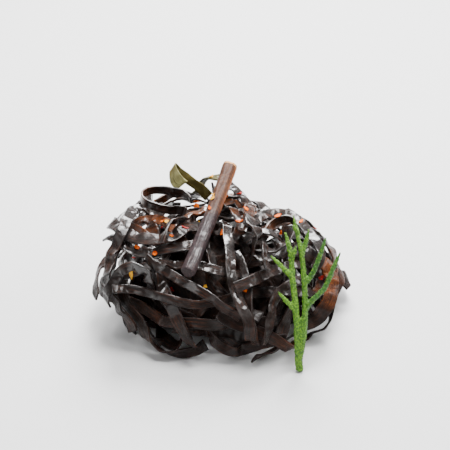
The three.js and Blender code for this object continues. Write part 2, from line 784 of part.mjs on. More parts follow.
// The stalk: a thick stem with a groove along it, laid over the front of the heap.
const STALK_FOOT = [-11, 5.5, -29];
const STALK_TOP = [2.6, 39.8, 9];
const STALK_BOW = new THREE.Vector3(0.6, 0, 0.8);
const STALK_RADIUS = 2.4;
const STALK_SWELL = 0.06;
const STALK_SWELLS = 5;
const STALK_GROOVE = 0.35;
const GROOVES = 3;
const GROOVE_TURN = 0.5;

// A round stem through given places, closed at both ends; its radius is given along it.
function stem(points, radiusAt, { sides = 7, parts = 6, groove = 0 } = {}) {
  const curve = new THREE.CatmullRomCurve3(points, false, "centripetal");
  const geometry = new THREE.CylinderGeometry(1, 1, 1, sides, parts);
  const position = geometry.attributes.position;
  const start = curve.getTangent(0);
  const aside = new THREE.Vector3(0, -1, 0).cross(start).normalize();
  for (let v = 0; v < position.count; v++) {
    const u = THREE.MathUtils.clamp(0.5 - position.getY(v), 0, 1);
    const r = Math.hypot(position.getX(v), position.getZ(v));
    const angle = Math.atan2(position.getX(v), position.getZ(v));
    const forward = curve.getTangentAt(u);
    const up = forward.clone().cross(aside).normalize();
    const place = curve.getPointAt(u);
    const size = r * (radiusAt(u) - groove * Math.max(0, Math.cos(GROOVES * (angle - GROOVE_TURN))) ** 3);
    place.addScaledVector(aside, Math.sin(angle) * size).addScaledVector(up, Math.cos(angle) * size);
    position.setXYZ(v, place.x, place.y, place.z);
  }
  return closed(geometry);
}

// Moves a rigid piece toward the eye until its spheres are clear of the strips, and adds them to the crowd.
function bringForward(geometry, spheres) {
  const way = new THREE.Vector3(0, -Math.cos(SIGHT), Math.sin(SIGHT)).multiplyScalar(0.25);
  const push = [0, 0, 0];
  const shift = new THREE.Vector3();
  const meets = ([p, radius]) => crowd.pushOut(p.x, p.y, p.z, radius, push) > 0;
  while (spheres.some(meets)) {
    for (const [p] of spheres) p.add(way);
    shift.add(way);
  }
  for (const [p, radius] of spheres) crowd.add(p.x, p.y, p.z, radius);
  return geometry.translate(shift.x, shift.y, shift.z);
}

function alongStem(points, radiusAt) {
  const curve = new THREE.CatmullRomCurve3(points, false, "centripetal");
  const count = Math.ceil(curve.getLength());
  return curve.getSpacedPoints(count).map((p, i) => [p, radiusAt(i / count)]);
}

function stalkGeometry() {
  const foot = seenAt(...STALK_FOOT);
  const top = seenAt(...STALK_TOP);
  const points = [foot, foot.clone().lerp(top, 0.5).add(STALK_BOW), top];
  const radiusAt = (u) => STALK_RADIUS * (1 - STALK_SWELL * (1 - Math.cos(STALK_SWELLS * u)) * 0.5);
  const geometry = stem(points, radiusAt, { sides: 12, parts: 10, groove: STALK_GROOVE });
  return bringForward(geometry, alongStem(points, radiusAt));
}

// The green frond: a thin band that stands up behind the crest, with its end folded down in front of it.
// Its two edges, as right, up and depth.
const FROND_THICKNESS = 0.8;
const FROND_WIDTH = 4.4;
const FROND_STEP = 3.2;
const FROND_UPPER = [
  [-3, 31, 15], [-5.5, 33.5, 14.5], [-8.5, 35.5, 14], [-11, 37.5, 14], [-13, 39, 14],
  [-14.5, 40.5, 13.6], [-14.8, 40, 12], [-14, 38.2, 11.2], [-12.5, 36.2, 11], [-11, 34.8, 11],
];
const FROND_LOWER = [
  [-5.5, 28.5, 15], [-8.3, 31.5, 14.5], [-11, 33.5, 14], [-13.3, 35, 14], [-15.3, 36.8, 14],
  [-16.2, 38, 13.6], [-16.8, 37.4, 12], [-16.8, 35, 11.2], [-15.8, 33, 11], [-13.8, 32.5, 11],
];

function frondGeometry() {
  const count = FROND_UPPER.length;
  const points = new Float64Array(count * 6);
  FROND_UPPER.forEach((place, i) => seenAt(...place).toArray(points, i * 6 + 3));
  FROND_LOWER.forEach((place, i) => seenAt(...place).toArray(points, i * 6));
  const samples = samplesOf({ count, step: FROND_STEP, width: FROND_WIDTH }, FROND_THICKNESS);
  const places = new Float64Array(samples.length * 3);
  placeSamples(points, samples, places);
  const spheres = samples.map((_, n) => [new THREE.Vector3().fromArray(places, n * 3), FROND_THICKNESS / 2]);
  return bringForward(stripGeometry({ count, points }, FROND_THICKNESS), spheres);
}

// The garnish sprig: its branches, each as its thickness at both ends and its points (right, up, depth).
// All start on a branch that is listed before them. The two main stems are cut off level at the foot.
const SPRIG_FOOT = 0.4;
const SPRIG_PART = 3.2;
const TIP_SHARE = 0.45;
const SPRIG_BRANCHES = [
  [
    2.7, 1.6, [25.4, -32, -37], [24.6, -24, -36.8], [23.8, -9, -34.5], [23.3, -3, -32.5], [22.4, 5, -29],
    [22, 11, -26], [20.2, 18.5, -22],
  ],
  [
    2.3, 1.4, [24.7, -22, -36.8], [25.9, -15, -35.8], [26.5, -9, -34.4], [26.5, -2, -31.8], [26.2, 3, -29.6],
    [25.6, 10, -26.3], [22.8, 24, -18],
  ],
  [1.7, 1.3, [23.6, -7, -33.8], [20.5, -3.5, -33.2], [17.8, -0.5, -33]],
  [1.8, 1.3, [22.4, 4, -29.5], [18.5, 8, -29], [15.5, 11, -28]],
  [1.5, 1.3, [22.1, 9, -27], [23.2, 12.5, -26.5], [23.6, 14, -26]],
  [1.7, 1.3, [25.4, 11, -25.7], [26.8, 15, -24], [27.8, 19.5, -22.5]],
  [1.9, 1.4, [26.2, 1.5, -30.3], [28.5, 4.5, -29.5], [31, 10, -28], [33.3, 17, -25.5]],
  [1.9, 1.5, [26.5, -6.5, -33.4], [29, -3, -33.2], [32.5, 0, -32.5], [35, 5.5, -31], [37.8, 12, -28.5]],
  [1.4, 1.2, [24.2, 18.5, -21.5], [23, 19.8, -22], [22.6, 20.8, -22]],
];

function sprigGeometry() {
  const solids = [];
  const spheres = [];
  for (const [thick, thin, ...points] of SPRIG_BRANCHES) {
    const places = points.map((place) => seenAt(...place));
    const radiusAt = (u) => (thick + (thin - thick) * u) / 2;
    const tipped = (u) => radiusAt(u) * (u > 0.99 ? TIP_SHARE : 1);
    const parts = Math.max(3, Math.round(new THREE.CatmullRomCurve3(places).getLength() / SPRIG_PART));
    solids.push(solidOf(stem(places, tipped, { sides: 6, parts })));
    spheres.push(...alongStem(places, radiusAt));
  }
  const whole = bringForward(geometryOf(Manifold.union(solids).simplify(SLIVER)), spheres);
  return geometryOf(solidOf(whole).trimByPlane([0, 0, 1], SPRIG_FOOT));
}

addMesh("inner_tangle", innerTangle(), kombu);
wanderers("lower_strip", LOWER_STRIPS, {
  levels: [0.78, 0.82],
  rises: [0.05, 1.1],
  turns: [0, 2 * Math.PI],
  curls: [0.02, 0.09],
  widths: [3.4, 4.8],
});
wanderers("foot_strip", FOOT_STRIPS, {
  levels: [0.84, 0.88],
  rises: [-0.15, 0.1],
  turns: [-0.9 * Math.PI, 0.1 * Math.PI],
  curls: [0.02, 0.08],
  widths: [3.2, 4.6],
});
wanderers("outer_strip", OUTER_STRIPS, {
  levels: [0.83, 0.88],
  rises: [0, 1],
  turns: [-0.1 * Math.PI, 1.1 * Math.PI],
  curls: [0.02, 0.1],
  widths: [3.2, 4.8],
});
addMesh("green_frond", frondGeometry(), frond);

// Lays strips along the places that they are given by, a little higher at each attempt.
const RAISE = 0.8;
const FIRST_PRESS = 0.3;

function traced(strips, placeOf) {
  for (const [name, { width, seen }] of Object.entries(strips)) {
    const route = tracedRoute(seen.map(placeOf), seen.map(([, , , roll]) => roll));
    const press = (attempt) => ({ press: FIRST_PRESS - RAISE * attempt });
    addMesh(name, lay(() => route, width, TIGHT_RUNG_SPACING, press), kombu);
  }
}

traced(FRONT_STRIPS, ([right, up, lift]) => onMound(right, up, lift));
traced(FREE_STRIPS, ([right, up, depth]) => seenAt(right, up, depth));
const loop = loopRoute();
const loopPress = (attempt) => ({ press: -RAISE * attempt });
addMesh("top_left_loop", lay(() => loop, LOOP_WIDTH, TIGHT_RUNG_SPACING, loopPress), kombu);
addMesh("stalk", stalkGeometry(), stalkSkin);
addMesh("garnish_sprig", sprigGeometry(), sprigSkin);

// The heap stands on the inner tangle's foot, with the middle of its box over the origin.
const box = new THREE.Box3().setFromObject(heap);
const middle = box.getCenter(new THREE.Vector3());
for (const mesh of heap.children) mesh.geometry.translate(-middle.x, -middle.y, -box.min.z);

export default heap;
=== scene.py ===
"""A heap of simmered shredded kombu, with a stalk, an olive frond, chili flakes and a green sprig.

Each piece is dressed over the solid that it stands for.
"""

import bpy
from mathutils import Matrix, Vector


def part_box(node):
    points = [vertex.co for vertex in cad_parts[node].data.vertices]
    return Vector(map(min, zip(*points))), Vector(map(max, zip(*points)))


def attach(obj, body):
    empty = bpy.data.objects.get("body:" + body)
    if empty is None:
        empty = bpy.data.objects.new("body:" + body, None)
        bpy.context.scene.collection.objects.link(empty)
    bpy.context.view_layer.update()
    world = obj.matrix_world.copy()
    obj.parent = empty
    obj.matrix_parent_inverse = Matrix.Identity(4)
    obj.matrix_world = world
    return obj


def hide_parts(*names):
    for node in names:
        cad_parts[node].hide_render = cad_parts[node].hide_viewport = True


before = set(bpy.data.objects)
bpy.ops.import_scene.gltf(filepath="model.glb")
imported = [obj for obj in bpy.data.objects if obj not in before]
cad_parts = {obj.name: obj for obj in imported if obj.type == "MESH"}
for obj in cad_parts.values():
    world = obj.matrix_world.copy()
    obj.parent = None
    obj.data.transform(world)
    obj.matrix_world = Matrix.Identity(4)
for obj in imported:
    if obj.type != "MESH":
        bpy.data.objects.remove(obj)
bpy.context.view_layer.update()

import math

import bmesh
import bpy
import numpy as np
from mathutils import Matrix, Vector, noise

# The viewpoint: half a metre away and 32 degrees above the table, with a long lens, as food is shot from
# a seat at the table. The heap's middle is found from its stalk, whose place in the picture is known.
EYE_DISTANCE = 0.5
EYE_CLIMB = math.radians(32)
STALK_FROM_MIDDLE = Vector((-0.0038, -0.0103, 0.0322))
PICTURE_WIDTH = 0.144
PICTURE_PIXELS = 450
SHIFT_PIXELS = (3, 65)

toward_eye = Vector((0, -math.cos(EYE_CLIMB), math.sin(EYE_CLIMB)))
picture_right = Vector((1, 0, 0))
picture_up = toward_eye.cross(picture_right)
stalk_low, stalk_high = [Vector(corner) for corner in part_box("stalk")]
heap_middle = (stalk_low + stalk_high) / 2 - STALK_FROM_MIDDLE
eye = heap_middle + EYE_DISTANCE * toward_eye

lens = bpy.data.cameras.new("camera")
lens.sensor_width = 36
lens.lens = lens.sensor_width * EYE_DISTANCE / PICTURE_WIDTH
lens.shift_x, lens.shift_y = [pixels / PICTURE_PIXELS for pixels in SHIFT_PIXELS]
camera = bpy.data.objects.new("camera", lens)
camera.location = eye
camera.rotation_euler = (-toward_eye).to_track_quat("-Z", "Y").to_euler()
bpy.context.scene.collection.objects.link(camera)
bpy.context.scene.camera = camera


# The table top: a plain, pale, matt surface that runs far out of sight, and a pale room around it.
# Every finish here is built with Shade, which wraps one socket of a node.
class Shade:
    """A value or colour on its way to a surface. Sums on it add Math nodes to the same tree."""

    def __init__(self, tree, socket=None):
        self.tree = tree
        self.socket = socket

    def node(self, kind, settings=None, sockets=None, out=0):
        made = self.tree.nodes.new(kind)
        for key, value in (settings or {}).items():
            if key == "stops":
                while len(made.color_ramp.elements) < len(value):
                    made.color_ramp.elements.new(1)
                for element, (place, colour) in zip(made.color_ramp.elements, value):
                    element.position = place
                    element.color = (*colour, 1)
            else:
                setattr(made, key, value)
        for key, value in (sockets or {}).items():
            if isinstance(value, Shade):
                self.tree.links.new(made.inputs[key], value.socket)
            else:
                made.inputs[key].default_value = value
        return Shade(self.tree, made.outputs[out])

    def sum(self, operation, *values):
        return self.node("ShaderNodeMath", {"operation": operation}, dict(enumerate(values)))

    def __add__(self, other):
        return self.sum("ADD", self, other)

    def __sub__(self, other):
        return self.sum("SUBTRACT", self, other)

    def __rsub__(self, other):
        return self.sum("SUBTRACT", other, self)

    def __mul__(self, other):
        return self.sum("MULTIPLY", self, other)

    __radd__ = __add__
    __rmul__ = __mul__

    def between(self, low, high):
        """0 below low, 1 above high, and a smooth rise from one to the other."""
        sockets = {"Value": self, "From Min": low, "From Max": high}
        return self.node("ShaderNodeMapRange", {"interpolation_type": "SMOOTHSTEP"}, sockets)

    def tinted(self, other, share):
        """This colour, with a share of another one over it."""
        sockets = {0: share, 6: self, 7: other}
        return self.node("ShaderNodeMix", {"data_type": "RGBA"}, sockets, out=2)

    def stretched(self, scale):
        """These coordinates, scaled along each axis."""
        return self.node("ShaderNodeMapping", {}, {"Vector": self, "Scale": scale})

    def cloud(self, scale, detail=2.0, roughness=0.5, distortion=0.0):
        """Soft noise on these coordinates."""
        values = {"Vector": self, "Scale": scale, "Detail": detail, "Roughness": roughness}
        return self.node("ShaderNodeTexNoise", {}, {**values, "Distortion": distortion})

    def raised(self, strength, distance):
        """The surface's tilt where this value is its height, in metres at most distance."""
        sockets = {"Strength": strength, "Distance": distance, "Height": self}
        return self.node("ShaderNodeBump", {}, sockets)

    def painted(self, name):
        """A value that was painted on the piece's vertices."""
        return self.node("ShaderNodeAttribute", {"attribute_name": name}, out=2)

    def colour(self, rgb):
        """One colour, for others to be laid over."""
        made = self.node("ShaderNodeRGB")
        made.socket.default_value = (*rgb, 1)
        return made


def finish_named(name):
    """A new material, an empty start, its Object coordinates in millimetres, and its surface."""
    material = bpy.data.materials.new(name)
    material.use_nodes = True
    tree = material.node_tree
    surface = tree.nodes["Principled BSDF"]
    start = Shade(tree)
    places = start.node("ShaderNodeTexCoord", out=3).stretched((1000, 1000, 1000))
    return material, start, places, surface


def lay_on(surface, **sockets):
    """Sets the surface's sockets: links what varies, and sets what is the same all over."""
    for key, value in sockets.items():
        socket = surface.inputs[key.replace("_", " ")]
        if isinstance(value, Shade):
            value.tree.links.new(socket, value.socket)
        else:
            socket.default_value = value


TABLE_SIZE = 4
bpy.ops.object.select_all(action="DESELECT")
bpy.ops.mesh.primitive_plane_add(size=TABLE_SIZE)
table_top = bpy.context.object
table_top.name = "table_top"
pale, _, _, surface = finish_named("pale table")
lay_on(surface, Base_Color=(0.55, 0.55, 0.55, 1), Roughness=0.8)
table_top.data.materials.append(pale)

room = bpy.data.worlds.new("room")
room.use_nodes = True
air = room.node_tree.nodes["Background"]
air.inputs["Color"].default_value = (0.95, 0.97, 1, 1)
air.inputs["Strength"].default_value = 0.18
bpy.context.scene.world = room

# Soft lamps: a window above and behind the heap, which gives the wet strips their broken highlights, one
# overhead, and weaker ones from the front left and the right. Each has its place, power and size.
for name, place, power, size in [
    ("window", (0.04, 0.36, 0.44), 15.0, 0.34),
    ("ceiling", (0.06, -0.04, 0.6), 7.0, 0.24),
    ("front_fill", (-0.38, -0.42, 0.5), 2.8, 0.5),
    ("side_fill", (0.5, -0.05, 0.4), 3.0, 0.25),
]:
    lamp = bpy.data.lights.new(name, "AREA")
    lamp.energy = power
    lamp.size = size
    lamp_object = bpy.data.objects.new(name, lamp)
    lamp_object.location = place
    lamp_object.rotation_euler = (heap_middle - Vector(place)).to_track_quat("-Z", "Y").to_euler()
    bpy.context.scene.collection.objects.link(lamp_object)

# The kombu strips: leathery brown kelp, simmered soft, and cut into thin ribbons 3 to 5 mm wide. Each is
# cut flat, wrinkled, given its thickness and softened edges, and laid along the solid that it stands for.
MM = 0.001
GRAIN = 0.45 * MM
ROWS = 9
SHEET_THICKNESS = 0.66 * MM
EDGE_ROUNDING = 0.2 * MM
EDGE_ANGLE = math.radians(50)
SAME_POINT = 2e-6

# How high the wrinkles stand, in millimetres: long swells, cross folds, fine puckers, edges that ruffle,
# and how far the ribbon cups across its width.
SWELL, FOLD, PUCKER, RUFFLE, CUP = 0.13, 0.1, 0.05, 0.22, 0.6

# Where strips are thin enough for light to come through, painted as an amber glow, and where they have
# stayed
# olive: from and to, as shares of the strip's length, and how strongly. Each tone fades out over
# TONE_FADE.
TONE_FADE = 0.12
AMBER_LIT_THROUGH = {
    "under_arch": (0.1, 0.95, 1.0),
    "bright_fall": (0.08, 0.42, 0.9),
    "lower_strip_03": (0.0, 0.14, 0.9),
    "lower_strip_04": (0.0, 0.2, 1.0),
    "arch": (0.34, 0.56, 0.6),
    "right_lobe": (0.2, 0.75, 0.85),
    "lower_strip_10": (0.4, 0.9, 0.6),
    "small_ring": (0.5, 0.8, 0.6),
    "left_inner": (0.2, 0.9, 0.8),
    "under_loop": (0.1, 0.9, 0.8),
    "top_left_loop": (0.35, 0.7, 0.6),
    "glossy_band": (0.35, 0.8, 0.7),
    "shoulder": (0.3, 0.8, 0.5),
    "right_face": (0.5, 1.0, 0.5),
    "outer_strip_02": (0.2, 0.6, 0.35),
    "outer_strip_07": (0.6, 0.85, 0.6),
    "outer_strip_09": (0.1, 0.5, 0.7),
    "foot_strip_04": (0.2, 0.6, 0.25),
}
OLIVE = {
    "behind_stalk": (0.0, 0.55, 0.9),
    "outer_strip_11": (0.3, 0.8, 0.6),
    "outer_strip_07": (0.1, 0.4, 0.5),
}


def rungs_of(node):
    """A strip's two edges, read back from its solid's mesh: where each rung starts and ends."""
    shape = bmesh.new()
    shape.from_mesh(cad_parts[node].data)
    bmesh.ops.remove_doubles(shape, verts=shape.verts, dist=SAME_POINT)

    def beside(corner):
        return [edge.other_vert(corner) for edge in corner.link_edges]

    def off_middle(corner):
        return (corner.co - sum((v.co for v in beside(corner)), Vector()) / 4).length

    # Each end of the solid is a point that only the four corners of the first or last rung touch.
    tips = sorted((v for v in shape.verts if len(v.link_edges) == 4), key=off_middle)[:2]
    first = min(tips, key=lambda v: v.co.x)
    seen = {first}
    ring = set(beside(first))
    lefts, rights = [], []
    while len(ring) == 4:
        corners = sorted((v.co.copy() for v in ring), key=tuple)
        corners = sorted(corners, key=lambda co: (co - corners[0]).length)
        pairs = [(corners[0] + corners[1]) / 2, (corners[2] + corners[3]) / 2]
        if lefts:
            pairs.sort(key=lambda co: (co - lefts[-1]).length)
        lefts.append(pairs[0])
        rights.append(pairs[1])
        seen |= ring
        ring = {v for corner in ring for v in beside(corner)} - seen
    shape.free()
    return np.array(lefts), np.array(rights)


def smooth_through(points, at):
    """Places on a smooth curve through points, and its direction there; at counts the points."""
    count = len(points)
    padded = np.vstack([2 * points[0] - points[1], points, 2 * points[-1] - points[-2]])
    i = np.clip(np.floor(at).astype(int), 0, count - 2)
    t = (at - i)[:, None]
    a, b, c, d = padded[i], padded[i + 1], padded[i + 2], padded[i + 3]
    bend, sway = 2 * a - 5 * b + 4 * c - d, 3 * b - a - 3 * c + d
    place = b + 0.5 * t * (c - a + t * (bend + t * sway))
    return place, 0.5 * (c - a + t * (2 * bend + 3 * t * sway))


def use_modifier(piece, kind, **settings):
    bpy.context.view_layer.objects.active = piece
    bpy.ops.object.modifier_add(type=kind)
    modifier = piece.modifiers[-1]
    for key, value in settings.items():
        setattr(modifier, key, value)
    bpy.ops.object.modifier_apply(modifier=modifier.name)


def coordinates_of(piece):
    flat = np.empty(len(piece.data.vertices) * 3)
    piece.data.vertices.foreach_get("co", flat)
    return flat.reshape(-1, 3)


def move_to(piece, places):
    piece.data.vertices.foreach_set("co", np.asarray(places, dtype=float).ravel())
    piece.data.update()


def noise_at(x, y, z):
    return np.array([noise.noise(Vector(p)) for p in zip(x, y, np.broadcast_to(z, len(x)))])


def cut_strip(name, node, seed, thickness=SHEET_THICKNESS, crumple=1.0):
    """A ribbon as wide and as long as its solid, wrinkled and ruffled, lying where it lies."""
    lefts, rights = rungs_of(node)
    width = float(np.linalg.norm(rights - lefts, axis=1).mean())
    middles = (lefts + rights) / 2
    length = float(np.linalg.norm(np.diff(middles, axis=0), axis=1).sum())

    bpy.ops.object.select_all(action="DESELECT")
    columns = round(length / GRAIN)
    bpy.ops.mesh.primitive_grid_add(x_subdivisions=columns, y_subdivisions=ROWS, size=1)
    piece = bpy.context.object
    piece.name = piece.data.name = name
    bpy.ops.object.mode_set(mode="EDIT")
    bpy.ops.transform.resize(value=(length, width, 1))
    bpy.ops.object.mode_set(mode="OBJECT")

    # The wrinkles, and a width that varies a little. Each side has noise of its own along its edge.
    flat = coordinates_of(piece)
    x, y = flat[:, 0] / MM, flat[:, 1] / MM
    to_edge = np.abs(2 * flat[:, 1] / width)
    swell = SWELL * noise_at(0.22 * x, 0.2 * y, seed)
    folds = FOLD * (0.5 - np.abs(noise_at(0.55 * x, 0.2 * y, seed + 9.3)) * 2)
    puckers = PUCKER * noise_at(1.5 * x, 1.3 * y, seed + 17.1)
    ruffle = RUFFLE * to_edge**2 * noise_at(0.4 * x, np.sign(y) * 3.0, seed + 31.7)
    cupped = CUP * (to_edge**2 - 0.33) * noise_at(0.09 * x, np.zeros(len(x)), seed + 63.1)
    flat[:, 2] = MM * crumple * (swell + folds + puckers + ruffle + cupped)
    flat[:, 1] *= 0.97 + 0.05 * noise_at(0.25 * x, np.sign(y) * 5.0, seed + 47.9)
    move_to(piece, flat)
    for loop in piece.data.uv_layers.active.data:
        loop.uv = (loop.uv[0] * length / MM, loop.uv[1] * width / MM + seed)
    use_modifier(piece, "SOLIDIFY", thickness=thickness, offset=0)
    rounding = min(EDGE_ROUNDING, 0.4 * thickness)
    use_modifier(piece, "BEVEL", width=rounding, segments=2, angle_limit=EDGE_ANGLE)

    # Laying it along its solid.
    flat = coordinates_of(piece)
    along = np.clip(flat[:, 0] / length + 0.5, 0, 1)
    at = along * (len(middles) - 1)
    left, _ = smooth_through(lefts, at)
    right, _ = smooth_through(rights, at)
    _, forward = smooth_through(middles, at)
    across = right - left
    face = np.cross(forward, across)
    face /= np.linalg.norm(face, axis=1)[:, None]
    share = flat[:, 1:2] / width + 0.5
    move_to(piece, left + across * share + face * flat[:, 2:3])
    bpy.ops.object.shade_smooth()
    return piece, along


def paint(piece, attribute, along, spans, node):
    """How strongly a tone shows at each vertex. One that starts at the strip's end has no fade there."""
    start_at, end_at, strength = spans.get(node, (0, 1, 0))
    rise = np.clip((end_at - along) / TONE_FADE, 0, 1)
    if start_at > 0:
        rise *= np.clip((along - start_at) / TONE_FADE, 0, 1)
    layer = piece.data.attributes.new(attribute, "FLOAT", "POINT")
    layer.data.foreach_set("value", (strength * rise).astype(np.float32))


# Their finish: wet and glossy, nearly black to dark brown, streaked along the strip, with olive places, a
# painted amber glow where light comes through, and a wrinkled skin that breaks the light up. They are
# wettest in patches near the top.
NEAR_BLACK = (0.005, 0.002, 0.0011)
BROWN = (0.034, 0.0108, 0.0048, 1)
DEEP_AMBER = (0.08, 0.018, 0.0022)
BRIGHT_AMBER = (0.3, 0.08, 0.008, 1)
OLIVE_BROWN = (0.07, 0.06, 0.014, 1)
DRY_BELOW_MM, WET_ABOVE_MM = 14, 32

kombu, start, places, surface = finish_named("simmered kombu")
strip_mm = start.node("ShaderNodeUVMap", {"uv_map": "UVMap"})
streaks = strip_mm.stretched((0.12, 1.1, 1)).cloud(1.6, 4)
blotches = places.cloud(0.16, 3)
speckles = strip_mm.cloud(2.6, 3, 0.7)
patches = places.cloud(0.3, 4, 0.6).between(0.38, 0.6)
browned = streaks.between(0.42, 0.72) * blotches.between(0.3, 0.62)
skin = start.colour(NEAR_BLACK).tinted(BROWN, browned)
# Painted light: an amber glow laid over the skin where light would come through thin places.
lit_through_colour = start.colour(DEEP_AMBER).tinted(BRIGHT_AMBER, speckles.between(0.45, 0.75))
lit_through_spots = blotches.between(0.56, 0.7) * streaks.between(0.35, 0.7) * 0.35
amber = start.painted("amber") * (0.25 + 0.5 * patches + 0.35 * streaks.between(0.3, 0.7))
skin = skin.tinted(lit_through_colour, (amber + lit_through_spots).between(0, 1.1))
skin = skin.tinted(OLIVE_BROWN, start.painted("olive") * streaks.between(0.25, 0.6))
creases = strip_mm.stretched((0.75, 1, 1)).cloud(0.85, 5, 0.62, 0.6)
pores = strip_mm.cloud(3.4, 3, 0.6)
height_mm = places.node("ShaderNodeSeparateXYZ", {}, {0: places}, out=2)
soaked = 0.25 + 0.75 * places.cloud(0.14, 4, 0.65).between(0.42, 0.58)
lay_on(
    surface,
    Base_Color=skin,
    Roughness=0.34 + 0.25 * speckles.between(0.4, 0.7),
    IOR=1.22,
    Coat_Weight=soaked * (0.15 + 0.85 * height_mm.between(DRY_BELOW_MM, WET_ABOVE_MM)),
    Coat_Roughness=0.13,
    Coat_IOR=1.55,
    Normal=(creases + 0.55 * pores).raised(0.85, 0.45 * MM),
)

others = ("inner_tangle", "green_frond", "stalk", "garnish_sprig")
strips = sorted(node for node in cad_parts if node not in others)
for number, node in enumerate(strips):
    strip, along = cut_strip(f"kombu_{node}", node, seed=7.7 * number)
    paint(strip, "amber", along, AMBER_LIT_THROUGH, node)
    paint(strip, "olive", along, OLIVE, node)
    strip.data.materials.append(kombu)
    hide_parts(node)
    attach(strip, "root")

# The dense middle: strips packed so close inside the heap that only their backs show between the outer
# ones. It is one mass with a flat foot, smoothed, and furrowed as wide as the strips that lie in it.
BACK_WIDTH_MM = 3.4
FURROW_MM = 0.5
ROUGHNESS_MM = 0.12


def copy_of(node, name):
    """A copy of a node's solid as one closed mesh."""
    bpy.ops.object.select_all(action="DESELECT")
    piece = bpy.data.objects.new(name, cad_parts[node].data.copy())
    piece.data.name = name
    bpy.context.scene.collection.objects.link(piece)
    bpy.context.view_layer.objects.active = piece
    piece.select_set(True)
    bpy.ops.object.mode_set(mode="EDIT")
    bpy.ops.mesh.select_all(action="SELECT")
    bpy.ops.mesh.remove_doubles(threshold=SAME_POINT)
    bpy.ops.object.mode_set(mode="OBJECT")
    piece.data.materials.clear()
    return piece


def normals_of(piece):
    flat = np.empty(len(piece.data.vertices) * 3)
    piece.data.vertices.foreach_get("normal", flat)
    return flat.reshape(-1, 3)


middle = copy_of("inner_tangle", "packed_middle")
use_modifier(middle, "REMESH", mode="VOXEL", voxel_size=0.75 * MM)
use_modifier(middle, "SMOOTH", factor=0.5, iterations=3)
places_in = coordinates_of(middle)
outward = normals_of(middle)
x, y, z = (places_in / MM).T
wander = 5 * noise_at(0.05 * x, 0.05 * y, 0.05 * z)
side = noise_at(0.07 * x, 0.07 * y, 0.07 * z + 40)
one_way = 0.75 * x + 0.9 * z + wander
other_way = 0.8 * y - 0.7 * z + 0.4 * x - wander
phase = np.where(side > 0, one_way, other_way) / BACK_WIDTH_MM
groove = (np.abs(np.mod(phase, 1) - 0.5) * 2) ** 4
rough = noise_at(0.5 * x, 0.5 * y, 0.5 * z)
places_in += outward * (MM * (ROUGHNESS_MM * rough - FURROW_MM * groove))[:, None]
places_in[:, 2] = np.maximum(places_in[:, 2], 0)
move_to(middle, places_in)
bpy.ops.object.shade_smooth()

# Its finish: the same kombu, painted a darker brown as painted shade deep in the heap, and less glossy.
SHADED_BROWN = (0.024, 0.011, 0.007, 1)
packed, start, places, surface = finish_named("packed kombu")
grain = places.stretched((1, 1, 0.6)).cloud(0.5, 4, 0.6, 1.2)
lay_on(
    surface,
    Base_Color=start.colour(NEAR_BLACK).tinted(SHADED_BROWN, grain.between(0.4, 0.7)),
    Roughness=0.36 + 0.25 * grain,
    IOR=1.22,
    Normal=grain.raised(0.8, 0.5 * MM),
)
middle.data.materials.append(packed)
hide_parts("inner_tangle")
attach(middle, "root")

# The olive frond: one thin, flat piece of young kelp that has stayed olive. It stands up behind the
# crest, and its tip has folded over to the front, where the light that comes through it is painted in
# as a paler olive.
FROND_THICKNESS = 0.42 * MM
FROND_CRUMPLE = 0.7
FROND_LIT_TIP = {"green_frond": (0, 0.3, 1)}
DARK_OLIVE = (0.07, 0.052, 0.013)
MID_OLIVE = (0.16, 0.13, 0.038, 1)
LIT_THROUGH_OLIVE = (0.42, 0.4, 0.17, 1)
VEIN_BROWN = (0.035, 0.026, 0.008, 1)

frond, along = cut_strip("olive_frond", "green_frond", 501.3, FROND_THICKNESS, FROND_CRUMPLE)
paint(frond, "tip", along, FROND_LIT_TIP, "green_frond")
olive_skin, start, places, surface = finish_named("olive frond")
strip_mm = start.node("ShaderNodeUVMap", {"uv_map": "UVMap"})
veins = strip_mm.stretched((0.15, 1.4, 1)).cloud(1.5, 4)
mottle = strip_mm.cloud(0.35, 4, 0.6)
young = start.colour(DARK_OLIVE).tinted(MID_OLIVE, mottle.between(0.4, 0.68))
# Painted light: the folded tip is paler olive where light comes through it.
young = young.tinted(LIT_THROUGH_OLIVE, start.painted("tip") * (0.45 + 0.5 * mottle.between(0.35, 0.6)))
lay_on(
    surface,
    Base_Color=young.tinted(VEIN_BROWN, veins.between(0.52, 0.72) * 0.8),
    Roughness=0.32 + 0.25 * mottle,
    IOR=1.35,
    Coat_Weight=0.2,
    Coat_Roughness=0.15,
    Normal=(veins + 0.5 * mottle).raised(0.6, 0.3 * MM),
)
frond.data.materials.append(olive_skin)
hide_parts("green_frond")
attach(frond, "root")

# The stalk: a stiff stem of kelp, about 5 mm thick, cut square at the top, with furrows down its length.
# It lies over the front of the heap. Its axis, bow, radius and furrows are read from its solid, and its
# rings are set along them.
STALK_SIDES = 72
STALK_RINGS = 120
END_RINGS = 4
FURROWS = 3
FURROW_DEPTH, RIB_HEIGHT, KNOT_HEIGHT, WRINKLE_HEIGHT = 0.32, 0.16, 0.14, 0.07
TORN_DEPTH = 0.35 * MM
END_SHARE = 0.985
stalk_solid = copy_of("stalk", "stalk_solid")
corners = coordinates_of(stalk_solid)
bpy.data.objects.remove(stalk_solid)
centre = corners.mean(axis=0)
axis = np.linalg.svd(corners - centre)[2][0]
axis *= np.sign(axis[2])
reach = (corners - centre) @ axis
beside_axis = np.cross(axis, (0, -1, 0))
beside_axis /= np.linalg.norm(beside_axis)
over_axis = np.cross(axis, beside_axis)
bow_x = np.polyfit(reach, (corners - centre) @ beside_axis, 2)
bow_y = np.polyfit(reach, (corners - centre) @ over_axis, 2)
from_axis_x = (corners - centre) @ beside_axis - np.polyval(bow_x, reach)
from_axis_y = (corners - centre) @ over_axis - np.polyval(bow_y, reach)
radii = np.hypot(from_axis_x, from_axis_y)
